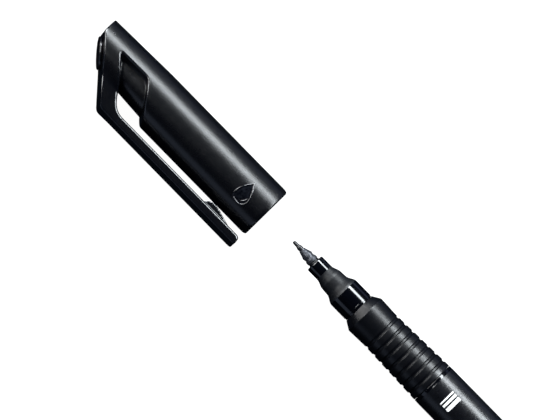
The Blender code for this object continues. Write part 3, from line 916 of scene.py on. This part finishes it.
def slab(name, radius, outline_pairs, low, high, place, look, flip):
    """A thin plate wrapped round a turned surface, from pairs of (along, around) points on its two sides."""
    points, faces = [], []
    for first, second in outline_pairs:
        for along, around in (first, second):
            points += [wrapped(radius, along, around, low, flip), wrapped(radius, along, around, high, flip)]
    count = len(outline_pairs)
    for i in range(count - 1):
        a, b = 4 * i, 4 * (i + 1)
        faces += [(a + 1, a + 3, b + 3, b + 1), (a, b, b + 2, a + 2)]
        faces += [(a, a + 1, b + 1, b), (a + 2, b + 2, b + 3, a + 3)]
    last = 4 * (count - 1)
    faces += [(0, 2, 3, 1), (last, last + 1, last + 3, last + 2)]
    return creased_piece(name, points, faces, place, look, 40)


def ridge(name, radius, path, width, height, place, look, flip):
    """A low round-backed line raised on a turned surface, along a path of (along, around) points."""
    path = [Vector(point) for point in path]
    closed = (path[0] - path[-1]).length < 1e-6
    if closed:
        path = path[:-1]
    section = [(-1.0, -0.5), (-0.92, 0.35), (-0.6, 0.8), (0, 1.0), (0.6, 0.8), (0.92, 0.35), (1.0, -0.5)]
    points, faces = [], []
    count, span = len(path), len(section)
    for i, point in enumerate(path):
        before = path[i - 1] if closed or i else point
        after = path[(i + 1) % count] if closed or i < count - 1 else point
        way = (after - before).normalized()
        side = Vector((-way.y, way.x))
        taper = 1.0 if closed else min(1.0, 0.35 + 0.25 * min(i, count - 1 - i))
        for across, up in section:
            place_2d = point + side * across * taper * width / 2
            points.append(wrapped(radius, place_2d.x, place_2d.y, up * taper * height, flip))
    for i in range(count if closed else count - 1):
        a, b = span * i, span * ((i + 1) % count)
        faces += [(a + j, a + j + 1, b + j + 1, b + j) for j in range(span - 1)]
        faces.append((a + span - 1, a, b, b + span - 1))
    if not closed:
        faces += [tuple(range(span)), tuple(range(span * (count - 1), span * count))]
    return creased_piece(name, points, faces, place, look, 60)


EMBLEM_Z = 5.93
DROP_HALF_WIDTH = 2.35
DROP_HALF_LENGTH = 2.65
DROP_SHARPNESS = 1.4


def drop_outline(scale):
    """A plain ink drop, its point towards the side away from the clip."""
    steps = 72
    outline = []
    for step in range(steps + 1):
        t = 2 * math.pi * step / steps
        along = DROP_HALF_WIDTH * math.sin(t) * abs(math.sin(t / 2)) ** DROP_SHARPNESS
        around = -DROP_HALF_LENGTH * math.cos(t)
        outline.append((EMBLEM_Z + scale * along, scale * around))
    return outline


def emblem():
    """A raised ink drop: a polished plate inside a rim, with one stroke for its shine."""
    outline = drop_outline(0.93)
    half = len(outline) // 2
    pairs = [(outline[i], outline[-1 - i]) for i in range(1, half)]
    plate = slab("cap_emblem_plate", CAP_R, pairs, -0.05, 0.04, CAP, EMBLEM_LOOK, 1)
    rim = ridge("cap_emblem_rim", CAP_R, drop_outline(1.0), 0.34, 0.14, CAP, EMBLEM_LOOK, 1)
    stroke = []
    for step in range(15):
        t = math.radians(200 + 75 * step / 14)
        stroke.append((EMBLEM_Z + 1.15 * math.sin(t), 0.65 - 1.25 * math.cos(t)))
    shine = ridge("cap_emblem_stroke", CAP_R, stroke, 0.30, 0.15, CAP, EMBLEM_LOOK, 1)
    for piece in (plate, rim, shine):
        settle_piece(piece, "cap", "cap_plastic")


PRINT_Z = 43.55
PRINT_HALF = 1.83
PRINT_WIDTHS = (0.32, 0.52, 0.78)
PRINT_GAP = 0.38


def line_width_mark():
    """White printed bars of growing width across the barrel, as line-width marks."""
    look = printed_ink("printed_white")
    along = PRINT_Z
    arounds = np.linspace(-PRINT_HALF, PRINT_HALF, 25)
    for i, width in enumerate(PRINT_WIDTHS):
        pairs = [((along, around), (along + width, around)) for around in arounds]
        bar = slab(f"barrel_print_{i + 1}", BARREL_R, pairs, -0.01, 0.015, PEN, look, -1)
        settle_piece(bar, "pen", "barrel_plastic")
        along += width + PRINT_GAP


emblem()
line_width_mark()

for cad_node, look in (("reservoir", ink_felt("soaked_felt")), ("reservoir_wrap", wrap_film("store_film"))):
    cad_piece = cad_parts[cad_node]
    for material_slot in cad_piece.material_slots:
        material_slot.link = "OBJECT"
        material_slot.material = look


# ---------------------------------------------------------------- camera, lights and floor

VIEW_ELEVATION = math.radians(68.5)
VIEW_ROLL = math.radians(45.6)
VIEW_DISTANCE = 2.4
LENS_PER_METRE = 1000 / 3
CENTRE_ASIDE = 1.05 * MM
LIGHT_DISTANCE = 0.7


def camera():
    back = Vector((0, -math.cos(VIEW_ELEVATION), math.sin(VIEW_ELEVATION)))
    along = Vector((1, 0, 0))
    up = back.cross(along)
    right = along * math.cos(VIEW_ROLL) + up * math.sin(VIEW_ROLL)
    turn = Matrix((right, back.cross(right), back)).transposed().to_4x4()
    centre = Vector((MOUTH_X, AXIS_Y, AXIS_Z)) + up * CENTRE_ASIDE
    data = bpy.data.cameras.new("camera")
    data.lens = LENS_PER_METRE * VIEW_DISTANCE
    data.sensor_width = 36
    data.clip_start = 0.05
    data.clip_end = 20
    made = bpy.data.objects.new("camera", data)
    bpy.context.scene.collection.objects.link(made)
    made.matrix_world = Matrix.Translation(centre + back * VIEW_DISTANCE) @ turn
    bpy.context.scene.camera = made


def softbox(name, direction, along, length, width, power, color):
    """A rectangular light aimed at the cap's mouth, with its long side along the given direction."""
    out = Vector(direction).normalized()
    side = (Vector(along) - out * out.dot(Vector(along))).normalized()
    data = bpy.data.lights.new(name, "AREA")
    data.shape = "RECTANGLE"
    data.size = length
    data.size_y = width
    data.energy = power
    data.color = color
    made = bpy.data.objects.new(name, data)
    bpy.context.scene.collection.objects.link(made)
    turn = Matrix((side, out.cross(side), out)).transposed().to_4x4()
    centre = Vector((MOUTH_X, AXIS_Y, AXIS_Z))
    made.matrix_world = Matrix.Translation(centre + out * LIGHT_DISTANCE) @ turn
    made.visible_camera = False


def floor():
    """A wide pale table, lit enough of itself that the pen's shadow on it stays faint."""
    size = 3.0
    steps = 12
    lines = np.linspace(-size, size, steps + 1)
    points = [(x, y, 0) for x in lines for y in lines]
    faces = []
    for i in range(steps):
        for j in range(steps):
            a = i * (steps + 1) + j
            faces.append((a, a + steps + 1, a + steps + 2, a + 1))
    mesh = bpy.data.meshes.new("floor")
    mesh.from_pydata(points, [], faces)
    look = bpy.data.materials.new("pale_table")
    look.use_nodes = True
    tree = look.node_tree
    shader = tree.nodes["Principled BSDF"]
    shader.inputs["Base Color"].default_value = (0.12, 0.12, 0.12, 1)
    shader.inputs["Roughness"].default_value = 0.9
    shader.inputs["Specular IOR Level"].default_value = 0.0
    shader.inputs["Emission Color"].default_value = (1.0, 1.0, 0.995, 1)
    shader.inputs["Emission Strength"].default_value = 0.98
    mesh.materials.append(look)
    made = bpy.data.objects.new("floor", mesh)
    bpy.context.scene.collection.objects.link(made)
    made.visible_glossy = False
    made.visible_diffuse = False
    made.visible_shadow = False


def surroundings():
    """Pale where the camera sees past the table, dim for everything else."""
    world = bpy.data.worlds.new("surroundings")
    world.use_nodes = True
    bpy.context.scene.world = world
    tree = world.node_tree
    output = tree.nodes["World Output"]
    seen = node(tree, "ShaderNodeBackground", {"Color": (1, 1, 1, 1), "Strength": 0.97})
    dim = node(tree, "ShaderNodeBackground", {"Color": (0.4, 0.6, 1, 1), "Strength": 0.008})
    ray = node(tree, "ShaderNodeLightPath").outputs["Is Camera Ray"]
    mixed = node(tree, "ShaderNodeMixShader", {0: ray, 1: dim.outputs[0], 2: seen.outputs[0]})
    tree.links.new(mixed.outputs[0], output.inputs["Surface"])


camera()
softbox("key", (0, 0.58, 0.81), (1, 0, 0), 1.4, 0.19, 22, (0.90, 0.96, 1.0))
softbox("front", (-0.90, -0.15, 0.42), (0, 1, 0), 0.8, 0.3, 4, (1.0, 1.0, 1.0))
softbox("corner", (-0.59, -0.28, 0.75), (0, 1, 0), 0.34, 0.14, 2.4, (0.95, 0.98, 1.0))
softbox("fill", (0, -1.0, 0.0), (1, 0, 0), 1.2, 0.3, 0.6, (0.62, 0.74, 1.0))
softbox("rim", (0, 0.99, 0.15), (1, 0, 0), 1.4, 0.2, 0.35, (0.55, 0.65, 1.0))
floor()
surroundings()
bpy.context.scene.view_settings.view_transform = "Standard"
